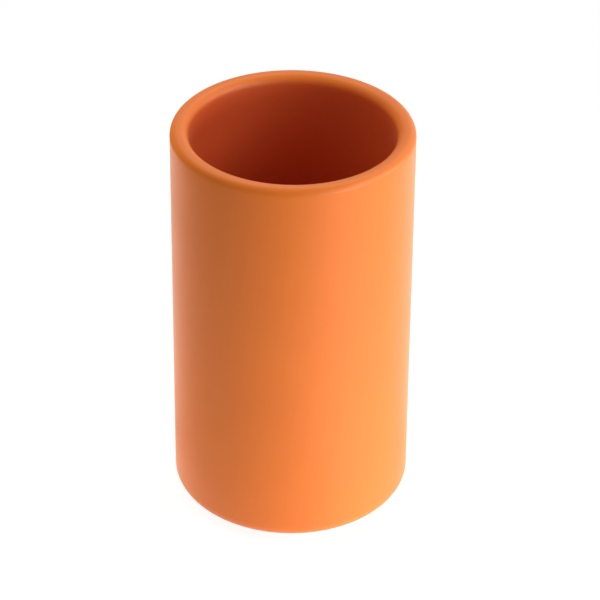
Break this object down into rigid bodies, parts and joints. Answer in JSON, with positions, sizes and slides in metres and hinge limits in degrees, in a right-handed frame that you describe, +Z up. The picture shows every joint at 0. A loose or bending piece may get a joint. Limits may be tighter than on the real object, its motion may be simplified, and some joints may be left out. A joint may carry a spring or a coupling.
{
  "type": "toothbrush holder",
  "caption": "Straight-sided round ceramic cup, open at the top with a rounded rim, that holds toothbrushes upright and stands on soft pads in a recess under its foot ring.",
  "frame": {"origin": "centre of the plane that the pads stand on, on the cup's axis", "axes": "+Z up along the cup's axis towards its open mouth; -Y is the front, towards the picture's camera; +X is to the right"},
  "size_m": [0.07, 0.07, 0.121],
  "materials": {
    "satin_orange_coat": "satin",
    "clear_silicone": "satin"
  },
  "bodies": {
    "root": {"cup_body": "satin_orange_coat", "foot_pad_right": "clear_silicone", "foot_pad_back": "clear_silicone", "foot_pad_left": "clear_silicone", "foot_pad_front": "clear_silicone"}
  },
  "joints": []
}
